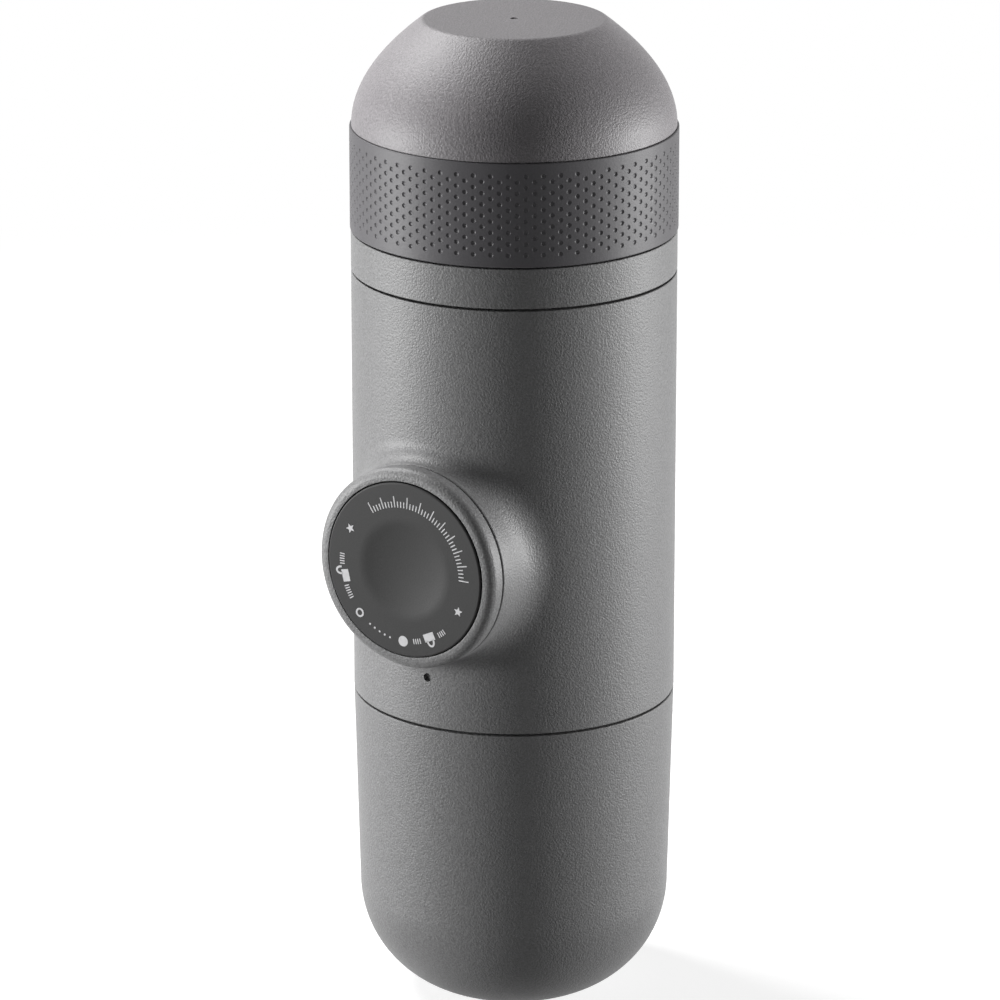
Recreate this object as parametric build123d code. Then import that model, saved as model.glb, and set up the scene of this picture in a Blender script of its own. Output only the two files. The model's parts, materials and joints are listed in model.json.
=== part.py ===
from build123d import *

import math
import os

os.makedirs("parts", exist_ok=True)

# Handheld manual espresso maker, millimetres, +Z up, standing on the flat of its tank.
# The piston knob faces -Y. The origin is the centre of the flat base.

# Outside, from the base up
body_r = 30.0            # shell, ring and tank at its seam
tank_h = 59.0            # base to the seam between tank and body
body_h = 80.8            # tank seam to the seam under the outlet head's ring
ring_h = 7.75            # outlet head's plain ring
band_h = 19.3            # soft band round the cup
dome_h = 19.65           # cup's domed end
seam_gap = 0.4           # open seam at each end of the body
cup_gap = 0.3            # open seam under the cup
rim_chamfer = 0.3        # broken edge at each seam

# Water tank
base_flat_r = 14.0
tank_taper = 0.95        # how much the wall narrows down to the rounded end
tank_arc_r = 21.6
tank_wall = 2.0
tank_mouth_wall = 3.0
tank_drop = 12.0         # travel that takes the unscrewed tank clear

# Multi-start thread, shared by the tank and the outlet head
thread_lead = 12.0
thread_starts = 4
thread_depth = 1.15
thread_root_w = 1.3
thread_crest_w = 0.6
thread_gap = 0.45        # crest to the opposite wall
thread_bury = 0.3        # how far a ridge is rooted in its wall
thread_len = 7.0         # height that each ridge climbs

# Body shell
shell_wall = 3.4
collar_socket_wall = 2.4
head_socket_wall = 2.5
boss_r = 18.9            # at its front face
boss_proud = 3.6         # front face beyond the shell
boss_straight = 5.1      # behind this much of its length the boss widens along an arc
boss_flare_r = 16.0
boss_flare_len = 11.5
boss_fillet = 3.2
index_drop = 22.8        # index dimple below the piston axis
index_r = 0.8
index_depth = 0.7

# Tank collar
collar_skirt_len = 11.0
collar_skirt_wall = 2.0
collar_plate_t = 3.0
collar_plate_rise = 4.0  # seam to the plate's underside
gasket_t = 1.8
gasket_w = 2.3
gasket_ledge_w = 0.9
port_r = 2.6
strainer_r = 6.5
strainer_wall = 0.9
strainer_drop = 2.6
strainer_pitch = 1.9
vent_y = -15.0
vent_r = 1.9
vent_flange_r = 4.0
bill_r = 2.8
bill_lip_w = 5.0
bill_lip_t = 1.0
bill_len = 5.5

# Pump
pump_rise = 32.5         # tank seam to the pump's axis
bore_r = 7.0
liner_wall = 1.2
barrel_wall = 1.6
liner_front = 24.0       # reaches are measured from the body's axis towards the knob
stroke = 21.0
piston_len = 9.0
piston_socket = 5.4      # how deep the rod sits in the piston head
end_gap = 0.5            # left over at each end of the stroke
seal_wire_r = 0.9
rod_r = 3.0
bush_len = 2.0
rod_flange_t = 1.5
flange_back = 1.5
flange_t = 2.5
ear_h = 8.0

# Valve column behind the cylinder
column_r = 7.0
column_gap = 4.1         # column to the shell
valve_bore_r = 4.2
throat_r = 2.4
inlet_bore_h = 14.0
outlet_bore_h = 13.0
seat_h = 4.0
seat_hole_r = 1.5
ball_r = 2.4
ball_lift = 1.2
valve_wire_r = 0.3
valve_coils = 4

# Chassis
base_plate_gap = 2.6     # plate to the shell
base_plate_t = 4.0
top_plate_x = 28.0
top_plate_t = 3.0
top_plate_front = -3.0
web_t = 4.0

# Knob
knob_r = 18.9
knob_rim_h = 3.5
knob_gap = 0.3           # knob to boss face
rim_round = 1.6
disc_r = 16.4
disc_proud = 0.3
disc_t = 2.2
disc_gap = 0.2
dish_r = 9.1
dish_depth = 1.2
knob_floor_t = 3.0
plunger_r = 15.6
plunger_wall = 3.0
plunger_back = 5.0
lug_h = 1.0
lug_len = 3.0
lug_arc = 20.0
lug_count = 2
lug_bearing = 90.0       # middle of the first lug, at the top
lock_turn = 45.0
groove_depth = 1.1
sleeve_r = 17.3
sleeve_gap = 0.3         # plunger to sleeve
lug_play = 3.0           # degrees left at each side of a groove

# Return spring
spring_wire_r = 0.6
spring_r = 11.1
spring_coils = 9

# Brewing parts
skirt_depth = 10.3
skirt_wall = 1.9
head_gasket_t = 1.6
chamber_flange_t = 2.2
chamber_wall = 2.5
chamber_floor_t = 2.5
chamber_clear = 1.2      # chamber above the guide sleeve
plenum_h = 3.0
skirt_room = 1.8         # chamber to the outlet head's skirt
basket_t = 0.5
basket_rim_gap = 0.4     # rim inside the chamber's outside
basket_gap = 0.5
delivery_ring_r = 5.2
delivery_wire_r = 0.7
hole_r = 0.5
hole_pitch = 3.4
hole_rings = 4
brew_gasket_t = 2.0
screen_t = 0.5
screen_gap = 0.4         # screen inside the basket's rim
plate_drop = 0.5         # head's plate below the ring's lower edge
plate_t = 4.5
scoop_gap = 0.5
scoop_wall = 1.2
scoop_drop = 5.3         # scoop's rim below the basket's

# Outlet head's top and cup
cup_wall = 1.3
band_t = 1.8
band_proud = 0.15
dome_gap = 0.2           # dome's foot inside the body's radius
dome_top_r = 17.5
dome_wall = 2.2
dome_edge = 0.8
gate_r = 0.7             # moulding gate's mark in the middle of the dome
gate_depth = 0.2
spigot_gap = 0.3
spigot_h = 8.6
spigot_wall = 3.1
o_ring_r = 0.9
cone_rise = 8.0
funnel_wall = 2.6        # under the cone
spout_boss_r = 6.0
spout_boss_h = 4.0
spout_h = 9.0
spout_tip_r = 3.2
spout_bore_r = 1.8
spout_stem_r = 3.4
spout_stem_h = 3.0

# Fasteners
screw_r = 1.25
screw_head_r = 2.4
screw_head_h = 1.6
slot_w = 0.7
slot_depth = 0.7
slot_edge = 0.9          # head left outside the slot
collar_screw_len = 11.0
collar_screw_edge = 4.0  # centres inside the chassis's base plate
post_r = 3.2
post_h = 4.0
chamber_screw_front = 1.5
chamber_screw_side = 8.7  # centres inside the chamber's wall
chamber_screw_back = 6.7
chamber_screw_len = 5.0
sleeve_screw_edge = 2.7  # centres inside the ears' ends
sleeve_screw_len = 4.0
knob_screw_r = 1.5
knob_screw_len = 12.0

# Clearances
fit_gap = 0.05           # pieces fixed to each other, and running fits
seal_gap = 0.1           # either side of a seal or gasket

# Levels and reaches worked out from the above; a reach is a distance from the body's axis
boss_reach = body_r + boss_proud
flare_front = boss_reach - boss_straight
flare_back = flare_front - boss_flare_len
shell_low = tank_h + seam_gap / 2
tank_shoulder_r = body_r - tank_taper
body_top = tank_h + body_h
shell_high = body_top - seam_gap / 2
ring_top = body_top + ring_h
cup_low = ring_top + cup_gap / 2
band_top = ring_top + band_h
total_h = band_top + dome_h
pump_z = tank_h + pump_rise
hollow_r = body_r - shell_wall
base_plate_r = hollow_r - base_plate_gap
collar_screw_pcr = base_plate_r - collar_screw_edge
column_y = hollow_r - column_gap - column_r
sleeve_screw_x = sleeve_r + screw_head_r + seal_gap
ear_reach = sleeve_screw_x + sleeve_screw_edge
collar_r = body_r - collar_socket_wall - fit_gap
head_wall_r = body_r - head_socket_wall
mouth_r = body_r - tank_mouth_wall
collar_root_r = mouth_r - thread_depth - thread_gap
skirt_r = head_wall_r - thread_depth - thread_gap
chamber_outer_r = skirt_r - skirt_wall - skirt_room
chamber_r = chamber_outer_r - chamber_wall
chamber_screw_x = chamber_r - chamber_screw_side
chamber_screw_ys = (chamber_screw_front, chamber_r - chamber_screw_back)
basket_r = chamber_r - basket_gap
basket_rim_r = chamber_outer_r - basket_rim_gap
screen_r = basket_rim_r - screen_gap
plate_low = tank_h + collar_plate_rise
plate_high = plate_low + collar_plate_t
block_low = plate_high + fit_gap
skirt_low = body_top - skirt_depth
head_gasket_low = skirt_low - seal_gap - head_gasket_t
flange_high = head_gasket_low - seal_gap
flange_low = flange_high - chamber_flange_t
head_plate_low = body_top - plate_drop
screen_low = head_plate_low - fit_gap - screen_t
brew_gasket_low = screen_low - fit_gap - brew_gasket_t
basket_high = brew_gasket_low - seal_gap
chamber_high = basket_high - basket_t - seal_gap
chamber_low = pump_z + sleeve_r + chamber_clear
chamber_floor = chamber_low + chamber_floor_t
basket_low = chamber_floor + plenum_h
block_high = chamber_low - fit_gap
liner_r = bore_r + liner_wall
barrel_r = liner_r + fit_gap + barrel_wall
liner_back = column_r - column_y - end_gap
piston_back = liner_back + end_gap
piston_front = piston_back + piston_len
flange_front = flange_back + flange_t
knob_back = boss_reach + knob_gap
knob_front = knob_back + knob_rim_h
disc_front = knob_front + disc_proud
recess_floor = disc_front - disc_t - fit_gap
knob_inner = recess_floor - knob_floor_t
rod_front = knob_inner - seal_gap
plunger_bore_r = plunger_r - plunger_wall
sleeve_bore_r = plunger_r + sleeve_gap
lug_r = plunger_r + lug_h
cup_inner_r = body_r + band_proud - band_t - fit_gap - cup_wall
spigot_r = cup_inner_r - spigot_gap
dome_r = body_r - dome_gap


def turned(*lines):
    """Solid of revolution about +Z from an outline of (radius, height) lines."""
    return revolve(Plane.XZ * make_face(list(lines)), Axis.Z)


def lathe(*points):
    """Solid of revolution about +Z from the corners of its outline."""
    return turned(*Polyline(*points, close=True).edges())


def tube(r_out, r_in, low, high):
    """Round bar or tube along +Z."""
    bar = Pos(0, 0, low) * Solid.make_cylinder(r_out, high - low)
    if r_in > 0:
        bar = bar - Pos(0, 0, low) * Solid.make_cylinder(r_in, high - low)
    return bar


def box(x, y, z):
    """Box from pairs of low and high coordinates."""
    size = [pair[1] - pair[0] for pair in (x, y, z)]
    middle = [(pair[1] + pair[0]) / 2 for pair in (x, y, z)]
    return Pos(*middle) * Box(*size)


def on_pump_axis(piece):
    """Lay a piece made along +Z on the pump's axis, with its height as its reach towards the knob."""
    return Pos(0, 0, pump_z) * Rot(90, 0, 0) * piece


def sector(radius, low, high, start, arc):
    """Pie slice about +Z."""
    return Pos(0, 0, low) * Rot(0, 0, start) * Solid.make_cylinder(radius, high - low, angle=arc)


def thread(wall_r, crest_side, low, phase):
    """Ridges of the shared thread on a wall; crest_side is 1 outwards and -1 inwards."""
    inner, outer = wall_r - crest_side * thread_bury, wall_r + crest_side * thread_depth
    root, crest = thread_root_w / 2, thread_crest_w / 2
    outline = Polyline((inner, -root), (outer, -crest), (outer, crest), (inner, root), close=True)
    helix = Helix(pitch=thread_lead, height=thread_len, radius=wall_r)
    ridge = sweep(Plane.XZ * make_face(outline), path=helix, is_frenet=True)
    low_edge = low + root
    return [
        Pos(0, 0, low_edge) * Rot(0, 0, phase + n * 360 / thread_starts) * ridge
        for n in range(thread_starts)
    ]


def interleave(low_a, low_b):
    """Phase of ridges starting at low_b that run midway between ridges starting at low_a."""
    return (low_b - low_a) / thread_lead * 360 + 180 / thread_starts


def screw(shank_r, length):
    """Pan head screw pointing up, with its head's seat at z = 0 and a cross slot."""
    seat = Solid.make_cylinder(shank_r, length)
    head = Pos(0, 0, -screw_head_h) * Solid.make_cylinder(screw_head_r, screw_head_h)
    head = head - cross_slot(screw_head_r, -screw_head_h)
    return seat + head


def cross_slot(head_r, face):
    """Cross recess cut up into a screw head from its face."""
    arm = (slot_edge - head_r, head_r - slot_edge)
    bar = (-slot_w / 2, slot_w / 2)
    deep = (face, face + slot_depth)
    return box(arm, bar, deep) + box(bar, arm, deep)


def hole_pattern(low, high, pitch, rings):
    """Perforations in rings, one more step out each time."""
    holes = [tube(hole_r, 0, low, high)]
    for ring in range(1, rings + 1):
        for n in range(6 * ring):
            turn = Rot(0, 0, n * 60 / ring)
            holes.append(turn * Pos(ring * pitch, 0, 0) * tube(hole_r, 0, low, high))
    return holes


def coil(mean_r, wire_r, low, high, turns):
    """Open coil spring along +Z between two seats."""
    height = high - low - 2 * wire_r
    helix = Helix(pitch=height / turns, height=height, radius=mean_r)
    wire = Plane(origin=helix @ 0, z_dir=helix % 0) * Circle(wire_r)
    return Pos(0, 0, low + wire_r) * sweep(wire, path=helix, is_frenet=True)


def o_ring(mean_r, wire_r, z):
    return Pos(0, 0, z) * Torus(mean_r, wire_r)


def collar_screw_spots():
    spots = []
    for n in range(4):
        angle = math.radians(45 + 90 * n)
        spots.append((collar_screw_pcr * math.cos(angle), collar_screw_pcr * math.sin(angle)))
    return spots


def chamber_screw_spots():
    return [(x, y) for x in (-chamber_screw_x, chamber_screw_x) for y in chamber_screw_ys]


# ---- water tank and what closes it ----

def water_tank():
    """Rounded shell with a flat to stand on and a threaded mouth."""
    centre_r = tank_shoulder_r - tank_arc_r
    centre_z = math.sqrt(tank_arc_r ** 2 - (base_flat_r - centre_r) ** 2)
    top = tank_h - seam_gap / 2
    flat_angle = math.asin(centre_z / tank_arc_r)
    outer_mid = (
        centre_r + tank_arc_r * math.cos(flat_angle / 2),
        centre_z - tank_arc_r * math.sin(flat_angle / 2),
    )
    solid = turned(
        Line((0, 0), (base_flat_r, 0)),
        ThreePointArc((base_flat_r, 0), outer_mid, (tank_shoulder_r, centre_z)),
        Line((tank_shoulder_r, centre_z), (body_r, top - rim_chamfer)),
        Line((body_r, top - rim_chamfer), (body_r - rim_chamfer, top)),
        Line((body_r - rim_chamfer, top), (0, top)),
        Line((0, top), (0, 0)),
    )
    inner_arc_r = tank_arc_r - tank_wall
    floor_r = centre_r + math.sqrt(inner_arc_r ** 2 - (centre_z - tank_wall) ** 2)
    floor_angle = math.asin((centre_z - tank_wall) / inner_arc_r)
    inner_mid = (
        centre_r + inner_arc_r * math.cos(floor_angle / 2),
        centre_z - inner_arc_r * math.sin(floor_angle / 2),
    )
    inner_shoulder = tank_shoulder_r - tank_wall
    mouth_low = tank_h - collar_skirt_len - end_gap
    ledge = tank_gasket_low() - seal_gap
    hollow = turned(
        Line((0, tank_wall), (floor_r, tank_wall)),
        ThreePointArc((floor_r, tank_wall), inner_mid, (inner_shoulder, centre_z)),
        Line((inner_shoulder, centre_z), (mouth_r, mouth_low)),
        Line((mouth_r, mouth_low), (mouth_r, ledge)),
        Line((mouth_r, ledge), (mouth_r + gasket_ledge_w, ledge)),
        Line((mouth_r + gasket_ledge_w, ledge), (mouth_r + gasket_ledge_w, top)),
        Line((mouth_r + gasket_ledge_w, top), (0, top)),
        Line((0, top), (0, tank_wall)),
    )
    low = tank_thread_low()
    return (solid - hollow) + thread(mouth_r, -1, low, interleave(low, low))


def tank_gasket_low():
    return shell_low - seal_gap - gasket_t


def tank_thread_low():
    return tank_gasket_low() - end_gap - thread_len - thread_root_w


def tank_gasket():
    inner = collar_root_r + seal_gap
    outer = mouth_r + gasket_ledge_w - seal_gap
    return tube(outer, inner, tank_gasket_low(), tank_gasket_low() + gasket_t)


def tank_collar():
    """Threaded skirt with the plate that closes the body's lower end."""
    skirt_low_end = tank_h - collar_skirt_len
    shoulder = shell_low + seal_gap
    skirt_in = collar_root_r - collar_skirt_wall
    solid = lathe(
        (0, plate_low), (skirt_in, plate_low), (skirt_in, skirt_low_end), (collar_root_r, skirt_low_end),
        (collar_root_r, shoulder), (collar_r, shoulder), (collar_r, plate_high), (0, plate_high),
    )
    solid = solid + Pos(0, column_y, 0) * tube(strainer_r - strainer_wall - fit_gap, 0,
                                                 plate_low - strainer_drop / 2, plate_low)
    solid = solid - Pos(0, column_y, 0) * tube(port_r, 0, plate_low - strainer_drop, plate_high)
    solid = solid - Pos(0, vent_y, 0) * tube(vent_r + fit_gap, 0, plate_low, plate_high)
    for x, y in collar_screw_spots():
        solid = solid - Pos(x, y, 0) * tube(screw_r + seal_gap, 0, plate_low, plate_high)
    return solid + thread(collar_root_r, 1, tank_thread_low(), 0)


def collar_screws():
    return Compound([Pos(x, y, plate_low - fit_gap) * screw(screw_r, collar_screw_len)
                     for x, y in collar_screw_spots()])


def inlet_strainer():
    """Cap with a perforated floor, snapped over the plate's inlet."""
    low = plate_low - strainer_drop
    cap = tube(strainer_r, 0, low, plate_low - fit_gap)
    cap = cap - tube(strainer_r - strainer_wall, 0, low + strainer_wall, plate_low)
    holes = hole_pattern(low, low + strainer_wall, strainer_pitch, 2)
    return Pos(0, column_y, 0) * (cap - holes)


def vent_valve():
    """Duckbill that lets air into the tank, hung through the plate."""
    top = plate_high + fit_gap
    head = tube(vent_flange_r, 0, top, top + strainer_wall)
    stem = tube(vent_r, 0, plate_low - fit_gap, top)
    bill_top = plate_low - fit_gap
    bill = Pos(0, 0, bill_top) * Rot(180, 0, 0) * loft([
        Circle(bill_r).face(),
        (Pos(0, 0, bill_len) * Rectangle(bill_lip_w, bill_lip_t)).face(),
    ])
    return Pos(0, vent_y, 0) * (head + stem + bill)


# ---- body shell ----

def main_body_shell():
    """Tube with a flared boss for the piston."""
    solid = lathe(
        (0, shell_low), (body_r - rim_chamfer, shell_low), (body_r, shell_low + rim_chamfer),
        (body_r, shell_high - rim_chamfer), (body_r - rim_chamfer, shell_high), (0, shell_high),
    )
    root, front = flare_point(flare_back), flare_point(flare_front)
    boss = turned(
        Line((0, flare_back), root),
        ThreePointArc(root, flare_point((flare_back + flare_front) / 2), front),
        Line(front, (boss_r, boss_reach)),
        Line((boss_r, boss_reach), (0, boss_reach)),
        Line((0, boss_reach), (0, flare_back)),
    )
    solid = solid + on_pump_axis(boss)
    crease = [
        edge for edge in solid.edges()
        if edge.geom_type not in (GeomType.CIRCLE, GeomType.LINE)
    ]
    solid = fillet(crease, min(boss_fillet, boss_proud - rim_chamfer))
    solid = solid - lathe(
        (0, shell_low), (collar_r + fit_gap, shell_low), (collar_r + fit_gap, plate_high + fit_gap),
        (hollow_r, plate_high + fit_gap), (hollow_r, flange_low - fit_gap),
        (head_wall_r, flange_low - fit_gap), (head_wall_r, shell_high), (0, shell_high),
    )
    solid = solid - on_pump_axis(tube(sleeve_r + fit_gap, 0, 0, boss_reach))
    dimple_face = math.sqrt(body_r ** 2 - index_r ** 2) - index_depth
    solid = solid - on_pump_axis(Pos(0, -index_drop, 0) * tube(index_r, 0, dimple_face, boss_reach))
    low = head_thread_low()
    return solid + thread(head_wall_r, -1, low, interleave(low, low))


def flare_point(reach):
    """Radius and reach of a point on the boss's flared flank."""
    widen = boss_flare_r - math.sqrt(boss_flare_r ** 2 - (flare_front - reach) ** 2)
    return boss_r + widen, reach


def head_thread_low():
    return skirt_low + end_gap


# ---- pump ----

def pump_block():
    """Chassis: base and top plates, web, cylinder barrel, valve column and the flange for the sleeve."""
    column = Pos(0, column_y, 0) * tube(column_r, 0, block_low, block_high)
    base = tube(base_plate_r, 0, block_low, block_low + base_plate_t)
    posts = [Pos(x, y, 0) * tube(post_r, 0, block_low, block_low + base_plate_t + post_h)
             for x, y in collar_screw_spots()]
    top = box((-top_plate_x / 2, top_plate_x / 2), (top_plate_front, column_y + column_r / 2),
              (block_high - top_plate_t, block_high))
    web = box((-web_t / 2, web_t / 2), (-flange_front, column_y), (block_low, block_high))
    barrel = on_pump_axis(tube(barrel_r, 0, -column_y, liner_front))
    flange = on_pump_axis(tube(sleeve_r, 0, flange_back, flange_front))
    ears = box((-ear_reach, ear_reach), (-flange_front, -flange_back),
               (pump_z - ear_h / 2, pump_z + ear_h / 2))
    solid = column + base + posts + top + web + barrel + flange + ears
    solid = solid - on_pump_axis(tube(liner_r + fit_gap, 0, liner_back - fit_gap, liner_front))
    solid = solid - on_pump_axis(tube(port_r, 0, -column_y, liner_back))
    valve_line = Pos(0, column_y, 0)
    solid = solid - valve_line * tube(throat_r, 0, block_low, block_high)
    solid = solid - valve_line * tube(valve_bore_r, 0, block_low, block_low + inlet_bore_h)
    solid = solid - valve_line * tube(valve_bore_r, 0, block_high - outlet_bore_h, block_high)
    solid = solid - Pos(0, vent_y, 0) * tube(vent_flange_r + end_gap, 0, block_low,
                                               block_low + base_plate_t)
    hole = screw_r + fit_gap
    for x, y in collar_screw_spots():
        solid = solid - Pos(x, y, 0) * tube(hole, 0, block_low, block_low + base_plate_t + post_h)
    for x, y in chamber_screw_spots():
        solid = solid - Pos(x, y, 0) * tube(hole, 0, block_high - top_plate_t, block_high)
    for x in (-sleeve_screw_x, sleeve_screw_x):
        solid = solid - on_pump_axis(Pos(x, 0, 0) * tube(hole, 0, 0, flange_front))
    return solid


def pump_cylinder():
    return on_pump_axis(tube(liner_r, bore_r, liner_back, liner_front))


def rod_bush():
    """Guide for the rod, pressed into the cylinder's mouth."""
    return on_pump_axis(tube(bore_r - fit_gap, rod_r + fit_gap, liner_front - bush_len, liner_front))


def seal_reaches():
    quarter = piston_len / 4
    return piston_back + quarter, piston_front - quarter


def piston_head():
    socket = piston_front - piston_socket
    head_r = bore_r - sleeve_gap
    solid = tube(head_r, 0, piston_back, piston_front)
    for reach in seal_reaches():
        groove_low, groove_high = reach - seal_wire_r - seal_gap, reach + seal_wire_r + seal_gap
        solid = solid - tube(head_r, seal_mean_r() - seal_wire_r - seal_gap, groove_low, groove_high)
    return on_pump_axis(solid - tube(rod_r + fit_gap, 0, socket - fit_gap, piston_front))


def seal_mean_r():
    return bore_r - fit_gap - seal_wire_r


def piston_seals():
    return Compound([on_pump_axis(o_ring(seal_mean_r(), seal_wire_r, reach)) for reach in seal_reaches()])


def piston_rod():
    """Rod with the flange that the spring pushes and the knob is screwed to."""
    foot = piston_front - piston_socket
    solid = tube(rod_r, 0, foot, rod_front)
    flange_r = plunger_bore_r - seam_gap
    solid = solid + tube(flange_r, 0, rod_front - rod_flange_t, rod_front)
    solid = solid - tube(knob_screw_r + fit_gap, 0, rod_front - knob_screw_len, rod_front)
    return on_pump_axis(solid)


def knob_screw():
    """Screw through the knob's floor into the rod, with its head sunk in the floor."""
    turn_over = Pos(0, 0, recess_floor - screw_head_h - seal_gap) * Rot(180, 0, 0)
    return on_pump_axis(turn_over * screw(knob_screw_r, knob_screw_len))


def return_spring():
    return on_pump_axis(coil(spring_r, spring_wire_r, flange_front + seal_gap,
                             rod_front - rod_flange_t - seal_gap, spring_coils))


def guide_sleeve():
    """Lining of the boss, with an open groove for each lug and ears at its inner end."""
    low, high = flange_front + fit_gap, boss_reach - knob_gap
    solid = tube(sleeve_r, 0, low, high)
    ears = box((-ear_reach, ear_reach), (-ear_h / 2, ear_h / 2), (low, low + flange_t))
    solid = (solid + ears) - tube(sleeve_bore_r, 0, low, high)
    groove_r = sleeve_bore_r + groove_depth
    groove_end = plunger_back + lug_len + stroke + end_gap
    for n in range(lug_count):
        start = lug_bearing + n * 360 / lug_count - lug_arc / 2 - lug_play
        arc = lug_arc + lock_turn + 2 * lug_play
        solid = solid - sector(groove_r, low, groove_end, start, arc)
    for x in (-sleeve_screw_x, sleeve_screw_x):
        solid = solid - Pos(x, 0, 0) * tube(screw_r + seal_gap, 0, low, low + flange_t)
    return on_pump_axis(solid)


def sleeve_screws():
    seat = flange_front + flange_t + 2 * fit_gap
    return Compound([on_pump_axis(Pos(x, 0, seat) * Rot(180, 0, 0) * screw(screw_r, sleeve_screw_len))
                     for x in (-sleeve_screw_x, sleeve_screw_x)])


# ---- knob ----

def knob_body():
    """Round cap on a hollow plunger with two lugs."""
    solid = tube(knob_r, 0, knob_back, knob_front)
    front = solid.edges().filter_by(GeomType.CIRCLE).sort_by(Axis.Z)[-1]
    solid = fillet(front, rim_round)
    solid = solid + tube(plunger_r, 0, plunger_back, knob_back)
    solid = solid - tube(plunger_bore_r, 0, plunger_back, knob_inner)
    solid = solid - tube(disc_r + disc_gap, 0, recess_floor, knob_front)
    solid = solid - tube(knob_screw_r + seal_gap, 0, knob_inner, recess_floor)
    head_seat = recess_floor - screw_head_h - seal_gap - fit_gap
    solid = solid - tube(screw_head_r + seam_gap, 0, head_seat, recess_floor)
    for n in range(lug_count):
        lug = sector(lug_r, plunger_back, plunger_back + lug_len,
                     lug_bearing + n * 360 / lug_count - lug_arc / 2, lug_arc)
        solid = solid + (lug - tube(plunger_r - lug_h, 0, plunger_back, plunger_back + lug_len))
    return on_pump_axis(solid)


def knob_disc():
    """Inset face plate with a shallow dish."""
    solid = tube(disc_r, 0, disc_front - disc_t, disc_front)
    front = solid.edges().filter_by(GeomType.CIRCLE).sort_by(Axis.Z)[-1]
    solid = chamfer(front, disc_gap)
    sphere_r = (dish_r ** 2 + dish_depth ** 2) / (2 * dish_depth)
    solid = solid - Pos(0, 0, disc_front + sphere_r - dish_depth) * Sphere(sphere_r)
    return on_pump_axis(solid)


# ---- valves ----

def valve_seat(low):
    """Cartridge with a conical seat at its top."""
    rim = ball_r - seal_gap
    solid = tube(valve_bore_r - fit_gap, seat_hole_r, low, low + seat_h)
    cone = lathe((0, low + seat_h - rim), (seat_hole_r, low + seat_h - rim + seat_hole_r / 2),
                 (rim, low + seat_h), (0, low + seat_h))
    return Pos(0, column_y, 0) * (solid - cone)


def valve_ball(seat_low):
    return Pos(0, column_y, ball_centre(seat_low)) * Sphere(ball_r)


def ball_centre(seat_low):
    """Height at which the ball rests just clear of the seat's upper edge."""
    rim = ball_r - seal_gap
    return seat_low + seat_h + math.sqrt((ball_r + fit_gap) ** 2 - rim ** 2)


def valve_spring(low, high):
    return Pos(0, column_y, 0) * coil(ball_r - valve_wire_r, valve_wire_r, low, high, valve_coils)


inlet_seat_low = block_low
inlet_bore_top = block_low + inlet_bore_h
outlet_seat_low = block_high - outlet_bore_h + fit_gap


# ---- brewing parts ----

def brew_chamber():
    """Moulding that the basket drops into, with the flange that seats in the shell."""
    rim = head_wall_r - fit_gap
    solid = lathe(
        (0, chamber_low), (chamber_outer_r, chamber_low), (chamber_outer_r, flange_low),
        (rim, flange_low), (rim, flange_high), (chamber_outer_r, flange_high),
        (chamber_outer_r, chamber_high), (chamber_r, chamber_high), (chamber_r, chamber_floor),
        (0, chamber_floor),
    )
    solid = solid - Pos(0, column_y, 0) * tube(seat_hole_r, 0, chamber_low, chamber_floor)
    groove = delivery_wire_r + seal_gap
    solid = solid - Pos(0, column_y, 0) * tube(delivery_ring_r + groove, delivery_ring_r - groove,
                                                 chamber_low, chamber_low + 2 * delivery_wire_r)
    for x, y in chamber_screw_spots():
        solid = solid - Pos(x, y, 0) * tube(screw_r + seal_gap, 0, chamber_low, chamber_floor)
    return solid


def delivery_o_ring():
    wire_r = delivery_wire_r - fit_gap
    return Pos(0, column_y, 0) * o_ring(delivery_ring_r, wire_r, chamber_low + delivery_wire_r)


def chamber_screws():
    seat = chamber_floor + fit_gap
    return Compound([Pos(x, y, seat) * Rot(180, 0, 0) * screw(screw_r, chamber_screw_len)
                     for x, y in chamber_screw_spots()])


def head_gasket():
    inner = skirt_r - skirt_wall - seal_gap
    return tube(skirt_r, inner, head_gasket_low, head_gasket_low + head_gasket_t)


def filter_basket():
    """Thin steel cup with a rolled-out rim and a perforated floor."""
    inner = basket_r - basket_t
    solid = lathe(
        (0, basket_low), (basket_r, basket_low), (basket_r, basket_high - basket_t),
        (basket_rim_r, basket_high - basket_t), (basket_rim_r, basket_high), (inner, basket_high),
        (inner, basket_low + basket_t), (0, basket_low + basket_t),
    )
    return solid - hole_pattern(basket_low, basket_low + basket_t, hole_pitch, hole_rings)


def scoop():
    """Small cup that nests in the basket and tamps with its flat floor."""
    low = basket_low + basket_t + cup_gap
    outer = basket_r - basket_t - scoop_gap
    high = basket_high - scoop_drop
    solid = tube(outer, 0, low, high)
    solid = fillet(solid.edges().filter_by(GeomType.CIRCLE).sort_by(Axis.Z)[0], scoop_wall / 2)
    return solid - tube(outer - scoop_wall, 0, low + scoop_wall, high)


def brew_gasket():
    return tube(screen_r, basket_r - basket_t, brew_gasket_low, brew_gasket_low + brew_gasket_t)


def outlet_screen():
    high = screen_low + screen_t
    return tube(screen_r, 0, screen_low, high) - hole_pattern(screen_low, high, hole_pitch, hole_rings)


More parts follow.
